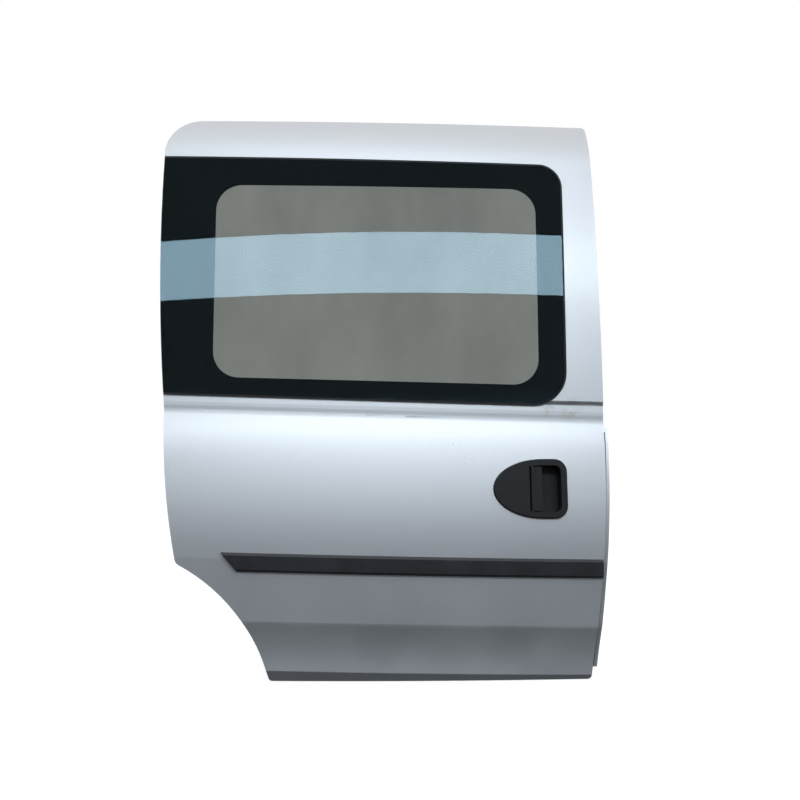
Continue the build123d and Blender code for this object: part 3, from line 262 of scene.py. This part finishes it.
def side_glass(name):
    """Tinted glass with a faint film of dust and a bluish reflection."""
    glass = Shader(name, (0.72, 0.76, 0.75), 0.0)
    film = glass.noise(6, detail=6, roughness=0.6, stretch=(1.0, 1.0, 0.5))
    specks = glass.ramp(glass.cells(140, "Distance"), (0.05, (1.0, 1.0, 1.0)), (0.09, (0.0, 0.0, 0.0)))
    tint = glass.ramp(film, (0.30, (0.208, 0.226, 0.214)), (0.70, (0.158, 0.172, 0.163)))
    glass.colour(glass.mix(glass.math("MULTIPLY", specks, film), tint, (0.10, 0.10, 0.09)))
    glass.roughness(glass.remap(film, span=(0.35, 0.8), onto=(0.0, 0.03)))
    glass.set("Transmission Weight", 1.0)
    glass.set("IOR", 1.42)
    glass.set("Specular Tint", (0.62, 0.86, 1.0, 1.0))
    glass.bump(glass.noise(3, detail=2), strength=0.02, distance=0.002)
    return glass.material


def enamel(name):
    """Printed black border behind the glass."""
    border = Shader(name, (0.004, 0.004, 0.005), 0.4)
    border.set("Specular IOR Level", 0.05)
    mottle = border.noise(300, detail=2)
    border.colour(border.ramp(mottle, (0.3, (0.003, 0.003, 0.004)), (0.7, (0.006, 0.006, 0.007))))
    return border.material


outer_paint = silver_paint("outer_paint", roughness=0.52, coat=0.6, dust=0.15, worn=True)
inner_paint = silver_paint("inner_paint", roughness=0.42, coat=0.25, dust=0.5, worn=False)
moulding = black_plastic("moulding", (0.019, 0.020, 0.023), roughness=0.42, grain=1500, gloss=0.5)
handle_plastic = black_plastic("handle_plastic", (0.0065, 0.0068, 0.0075), roughness=0.46, grain=1900, gloss=0.28)
seal_rubber = rubber("seal_rubber")
dipped_steel = arm_paint("dipped_steel")
zinc = plated_steel("zinc")
roller_nylon = nylon("roller_nylon")
tinted_glass = side_glass("tinted_glass")
black_enamel = enamel("black_enamel")

finishes = {
    outer_paint: ("outer_skin",),
    inner_paint: ("inner_panel", "window_frame", "belt_reinforcement"),
    moulding: ("rub_strip",),
    handle_plastic: ("handle_bezel", "handle_flap", "inner_bezel", "inner_lever"),
    seal_rubber: ("weatherstrip", "window_gasket", "window_bond"),
    dipped_steel: ("impact_beam", "lower_bracket", "lower_arm", "upper_arm", "centre_bracket", "centre_arm"),
    zinc: ("rear_latch", "rear_claw", "front_latch", "front_claw", "centre_pin", "handle_pin"),
    roller_nylon: ("lower_rollers", "upper_roller", "centre_rollers"),
    tinted_glass: ("window_glass",),
    black_enamel: ("window_frit",),
}
for material, names in finishes.items():
    for name in names:
        data = nodes[name].data
        data.materials.clear()
        data.materials.append(material)


# ---- Pieces ----

# Width of the rounding on each CAD node whose edges are softened in the picture, in metres
SOFT_EDGES = {
    "rub_strip": 0.0016,
    "weatherstrip": 0.003,
    "inner_bezel": 0.002,
    "inner_lever": 0.002,
    "handle_flap": 0.0008,
    "lower_arm": 0.0008,
    "lower_bracket": 0.0008,
    "centre_bracket": 0.0008,
    "upper_arm": 0.0008,
}
# A bolt's flange: its foot and top as shares of the head's radius, and its share of the height
FLANGE_FOOT = 1.55
FLANGE_TOP = 1.4
FLANGE_SHARE = 0.25
BOLT_EDGE = 0.12
# A plug's section from rim to crown: reach and rise as shares of its radius
PLUG_PROFILE = ((1.0, 0.0), (1.0, 0.10), (0.94, 0.16), (0.86, 0.16), (0.80, 0.09), (0.62, 0.10), (0.30, 0.20))
PLUG_SIDES = 28
PLUG_RADIUS = 0.013
# Inboard faces that the fasteners sit on, as y in door coordinates
PANEL_Y = 84.0
PLATE_Y = 89.0
LATCH_Y = 87.0
# Above LEAN_FOOT_Z the inner face leans inboard by LEAN for each unit of height
LEAN_FOOT_Z = 560
LEAN = 0.1845
LEAN_FACING = Vector((0, 0.983, -0.181))


def round_edges(piece, width, segments, angle):
    """Bevels the edges of a piece that are sharper than angle, in degrees."""
    edge = piece.modifiers.new("edge", "BEVEL")
    edge.width = width
    edge.segments = segments
    edge.limit_method = "ANGLE"
    edge.angle_limit = math.radians(angle)


def add_piece(name, data, material, place=Matrix.Identity(4)):
    """Adds a mesh to the door as a piece of its own."""
    data.materials.append(material)
    piece = bpy.data.objects.new(name, data)
    bpy.context.collection.objects.link(piece)
    piece.matrix_world = place
    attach(piece, "door")
    return piece


def bolt(name, place, outward, radius, height):
    """A flanged hexagon head whose underside sits at place."""
    flange = height * FLANGE_SHARE
    head = height - flange
    mesh = bmesh.new()
    for segments, foot, top, depth, middle in (
        (32, radius * FLANGE_FOOT, radius * FLANGE_TOP, flange, flange / 2),
        (6, radius, radius, head, flange + head / 2),
    ):
        bmesh.ops.create_cone(
            mesh, cap_ends=True, segments=segments, radius1=foot, radius2=top, depth=depth,
            matrix=Matrix.Translation((0, 0, middle)),
        )
    data = bpy.data.meshes.new(name)
    mesh.to_mesh(data)
    mesh.free()
    turn = outward.to_track_quat("Z", "X").to_matrix().to_4x4()
    piece = add_piece(name, data, zinc, Matrix.Translation(place) @ turn)
    round_edges(piece, radius * BOLT_EDGE, segments=2, angle=30)


def circle(sides):
    """Cosine and sine at equal steps round a circle."""
    angles = [2 * math.pi * side / sides for side in range(sides)]
    return [(math.cos(angle), math.sin(angle)) for angle in angles]


def ring_mesh(name, rings):
    """A smooth closed mesh over rings of points."""
    mesh = bmesh.new()
    loops = [[mesh.verts.new(point) for point in ring] for ring in rings]
    sides = len(loops[0])
    for first, second in zip(loops, loops[1:]):
        for side in range(sides):
            after = (side + 1) % sides
            mesh.faces.new((first[side], first[after], second[after], second[side]))
    mesh.faces.new(reversed(loops[0]))
    mesh.faces.new(loops[-1])
    data = bpy.data.meshes.new(name)
    mesh.to_mesh(data)
    mesh.free()
    for face in data.polygons:
        face.use_smooth = True
    return data


def tube(name, path, radius, sides, material):
    """A round bead swept along path."""
    rings = []
    for index, point in enumerate(path):
        ahead = path[min(index + 1, len(path) - 1)] - path[max(index - 1, 0)]
        turn = ahead.to_track_quat("Z", "X")
        rings.append([point + turn @ Vector((radius * cos, radius * sin, 0)) for cos, sin in circle(sides)])
    add_piece(name, ring_mesh(name, rings), material)


def plug(name, place):
    """A domed rubber plug in the inner panel, with a rim round it."""
    rings = [
        [place + PLUG_RADIUS * Vector((reach * cos, rise, -reach * sin)) for cos, sin in circle(PLUG_SIDES)]
        for reach, rise in PLUG_PROFILE
    ]
    add_piece(name, ring_mesh(name, rings), seal_rubber)


for name, width in SOFT_EDGES.items():
    round_edges(nodes[name], width, segments=3, angle=35)

for number, (x, z) in enumerate(((289, 114), (371, 114), (303, 86), (357, 86))):
    bolt(f"lower_bolt_{number}", at(x, PLATE_Y, z), INBOARD, radius=0.0072, height=0.0075)
for number, (x, z) in enumerate(((-414, 506), (-370, 506), (-414, 434), (-370, 434))):
    bolt(f"centre_bolt_{number}", at(x, PLATE_Y, z), INBOARD, radius=0.0058, height=0.006)
for number, (x, z) in enumerate(((386, 1003), (410, 1003), (398, 1030))):
    leaned_y = PLATE_Y + (z - LEAN_FOOT_Z) * LEAN
    bolt(f"upper_bolt_{number}", at(x, leaned_y, z), LEAN_FACING, radius=0.0055, height=0.006)
for side, (x, z) in (("rear", (-371, 345)), ("front", (397, 345))):
    for number, (across, up) in enumerate(((-26, 37), (26, 37), (0, -37))):
        place = at(x + across, LATCH_Y, z + up)
        bolt(f"{side}_latch_bolt_{number}", place, INBOARD, radius=0.0048, height=0.005)
plug_places = ((-300, 520), (120, 520), (310, 250), (-180, 330), (120, 330), (-230, 110), (200, 60))
for number, (x, z) in enumerate(plug_places):
    plug(f"panel_plug_{number}", at(x, PANEL_Y, z))

# A black rubber bead along the skin's bowed front edge, in the gap that the jamb flange shows through: painted
# shade, a dark bead that stands in for the shadow in that gap
EDGE_BOTTOM_Z = 30
EDGE_STEP = 12.2
EDGE_POINTS = 41
EDGE_MIDDLE_Z = 260
EDGE_MIDDLE_X = 458.6
EDGE_LEAN = 15.0
EDGE_BOW = 6.8
EDGE_INSET = 3
OUTSIDE_Y = -60
GAP_SHADE_SHIFT = Vector((0.0038, 0.0055, 0))
gap_shade_path = []
for step in range(EDGE_POINTS):
    z = EDGE_BOTTOM_Z + step * EDGE_STEP
    rise = z / EDGE_MIDDLE_Z - 1
    x = EDGE_MIDDLE_X + EDGE_LEAN * rise - EDGE_BOW * rise * rise
    hit, place, _, _ = nodes["outer_skin"].ray_cast(at(x - EDGE_INSET, OUTSIDE_Y, z), INBOARD)
    if hit:
        gap_shade_path.append(place + GAP_SHADE_SHIFT)
# The bead is painted shade: a dark line where the gap between skin and flange lies in shadow
tube("front_gap_shade_bead", gap_shade_path, 0.0018, 10, seal_rubber)


# ---- Camera at the photograph's angle ----

CAMERA_PLACE = at(-101.9, -2496.5, 584.0)
CAMERA_YAW = math.radians(-3.0)
CAMERA_PITCH = math.radians(90.0)
CAMERA_ROLL = math.radians(0.35)
camera_data = bpy.data.cameras.new("camera")
camera_data.sensor_width = 36.0
camera_data.lens = 54.69
camera = bpy.data.objects.new("camera", camera_data)
bpy.context.collection.objects.link(camera)
camera.matrix_world = (
    Matrix.Translation(CAMERA_PLACE)
    @ Matrix.Rotation(CAMERA_YAW, 4, "Z")
    @ Matrix.Rotation(CAMERA_PITCH, 4, "X")
    @ Matrix.Rotation(CAMERA_ROLL, 4, "Z")
)
bpy.context.scene.camera = camera
bpy.context.scene.view_settings.view_transform = "Standard"


# ---- Studio: a pale floor, white surroundings, soft boxes, and a grey cove that only glossy rays meet ----

SKY_TINT = (0.92, 0.98, 1.05)
LAMP_COLOUR = (0.83, 0.93, 1.0)
FLOOR_HALF = 14
FLOOR_GAP = 0.0005
# The floor glows and is pale where it is seen or mirrored, and is dark to diffuse rays
FLOOR_GLOW = 0.69
FLOOR_PALE = 0.50
FLOOR_DARK = 0.08
# What diffuse rays meet of the world: the sine of the elevation and the level there
SKY_LEVELS = (
    (-1.0, 0.04), (-0.342, 0.06), (-0.034, 0.12), (0.02, 0.40), (0.14, 0.62), (0.20, 0.62), (0.25, 0.22),
    (0.57, 0.22), (0.63, 1.0), (0.88, 1.0),
)
# The cove: a wall round the front half and a dark mat on the floor, which the paint mirrors as it does a yard
COVE_REACH = 5.0
COVE_TOP = 4.9
COVE_STEPS = 24
COVE_HALF_TURN = math.radians(88)
MAT_GAP = 0.0003
COVE_LEVELS = (
    (-0.045, 0.06), (0.22, 0.06), (0.55, 0.36), (1.05, 0.78), (1.55, 0.78), (1.82, 0.20), (COVE_TOP, 0.20),
)


def sees_white(tree):
    """One for the rays that meet the white background: from the camera, through glass or off a gloss."""
    path = tree.nodes.new("ShaderNodeLightPath")
    level = path.outputs["Is Camera Ray"]
    for kind in ("Is Transmission Ray", "Is Glossy Ray"):
        higher = tree.nodes.new("ShaderNodeMath")
        higher.operation = "MAXIMUM"
        tree.links.new(level, higher.inputs[0])
        tree.links.new(path.outputs[kind], higher.inputs[1])
        level = higher.outputs[0]
    return level


def graded(tree, coordinate, low, high, levels):
    """A tinted grey that follows height from low to high: levels gives z and level."""
    split = tree.nodes.new("ShaderNodeSeparateXYZ")
    height = tree.nodes.new("ShaderNodeMapRange")
    height.inputs["From Min"].default_value = low
    height.inputs["From Max"].default_value = high
    grey = tree.nodes.new("ShaderNodeValToRGB")
    elements = grey.color_ramp.elements
    while len(elements) < len(levels):
        elements.new(0.5)
    for element, (z, level) in zip(elements, levels):
        element.position = (z - low) / (high - low)
        element.color = (*(level * share for share in SKY_TINT), 1)
    tree.links.new(coordinate, split.inputs[0])
    tree.links.new(split.outputs["Z"], height.inputs["Value"])
    tree.links.new(height.outputs[0], grey.inputs["Fac"])
    return grey.outputs["Color"]


def stage_piece(name, points, faces):
    """A stage mesh with an empty node material: gives the object and the node tree."""
    data = bpy.data.meshes.new(name)
    data.from_pydata(points, [], faces)
    piece = bpy.data.objects.new(name, data)
    bpy.context.collection.objects.link(piece)
    material = bpy.data.materials.new(name)
    material.use_nodes = True
    material.node_tree.nodes.clear()
    data.materials.append(material)
    return piece, material.node_tree


def shader(tree, kind, **values):
    """Adds a shader node, with its named sockets set, and gives its output."""
    made = tree.nodes.new(kind)
    for socket, value in values.items():
        made.inputs[socket].default_value = value
    return made.outputs[0]


def choose(tree, other, white):
    """Gives the surface white to the rays that see it and other to the rest."""
    mix = tree.nodes.new("ShaderNodeMixShader")
    tree.links.new(sees_white(tree), mix.inputs["Fac"])
    tree.links.new(other, mix.inputs[1])
    tree.links.new(white, mix.inputs[2])
    return mix.outputs[0]


def soft_box(name, place, target, width, height, power):
    """A plain rectangular light that faces target."""
    data = bpy.data.lights.new(name, "AREA")
    data.color = LAMP_COLOUR
    data.shape = "RECTANGLE"
    data.size = width
    data.size_y = height
    data.energy = power
    lamp = bpy.data.objects.new(name, data)
    bpy.context.collection.objects.link(lamp)
    facing = (target - place).to_track_quat("-Z", "Y").to_matrix().to_4x4()
    lamp.matrix_world = Matrix.Translation(place) @ facing
    return lamp


floor_z = cad_box[0].z - FLOOR_GAP
floor_corners = [(x * FLOOR_HALF, y * FLOOR_HALF, floor_z) for x, y in ((-1, -1), (1, -1), (1, 1), (-1, 1))]
floor, tree = stage_piece("floor", floor_corners, [(0, 1, 2, 3)])
dark = shader(tree, "ShaderNodeBsdfDiffuse", Color=(FLOOR_DARK, FLOOR_DARK, FLOOR_DARK, 1))
glow = shader(tree, "ShaderNodeEmission", Strength=FLOOR_GLOW)
pale = shader(tree, "ShaderNodeBsdfDiffuse", Color=(FLOOR_PALE, FLOOR_PALE, FLOOR_PALE, 1))
white = tree.nodes.new("ShaderNodeAddShader")
tree.links.new(glow, white.inputs[0])
tree.links.new(pale, white.inputs[1])
output = tree.nodes.new("ShaderNodeOutputMaterial")
tree.links.new(choose(tree, dark, white.outputs[0]), output.inputs["Surface"])

world = bpy.data.worlds.new("studio")
bpy.context.scene.world = world
world.use_nodes = True
tree = world.node_tree
tree.nodes.clear()
direction = tree.nodes.new("ShaderNodeTexCoord").outputs["Generated"]
sky = tree.nodes.new("ShaderNodeBackground")
tree.links.new(graded(tree, direction, -1.0, 1.0, SKY_LEVELS), sky.inputs["Color"])
plain = shader(tree, "ShaderNodeBackground", Color=(1, 1, 1, 1))
output = tree.nodes.new("ShaderNodeOutputWorld")
tree.links.new(choose(tree, sky.outputs[0], plain), output.inputs["Surface"])

cove_middle = Vector((-0.33, -0.11, floor_z + MAT_GAP))
cove_points = [cove_middle]
for step in range(COVE_STEPS + 1):
    turn = COVE_HALF_TURN * (2 * step / COVE_STEPS - 1)
    foot = cove_middle + COVE_REACH * Vector((math.sin(turn), -math.cos(turn), 0))
    cove_points += [foot, Vector((foot.x, foot.y, COVE_TOP))]
cove_faces = []
for step in range(COVE_STEPS):
    foot = 1 + 2 * step
    cove_faces += [(0, foot, foot + 2), (foot, foot + 1, foot + 3, foot + 2)]
cove, tree = stage_piece("cove", cove_points, cove_faces)
place = tree.nodes.new("ShaderNodeTexCoord").outputs["Object"]
glow = tree.nodes.new("ShaderNodeEmission")
tree.links.new(graded(tree, place, COVE_LEVELS[0][0], COVE_TOP, COVE_LEVELS), glow.inputs["Color"])
output = tree.nodes.new("ShaderNodeOutputMaterial")
tree.links.new(glow.outputs[0], output.inputs["Surface"])
cove.visible_camera = False
cove.visible_transmission = False
cove.visible_diffuse = False
cove.visible_shadow = False

back_box = soft_box("back_box", Vector((-0.9, 3.6, 2.2)), at(0, 100, 560), width=3.0, height=2.0, power=16.0)
back_box.visible_transmission = False
soft_box("sky_box", Vector((-0.33, -2.98, 4.10)), at(0, 95, 560), width=6.0, height=1.2, power=17.0)
soft_box("front_box", Vector((-0.18, -2.98, 2.23)), at(0, 95, 868), width=3.6, height=0.43, power=53.0)
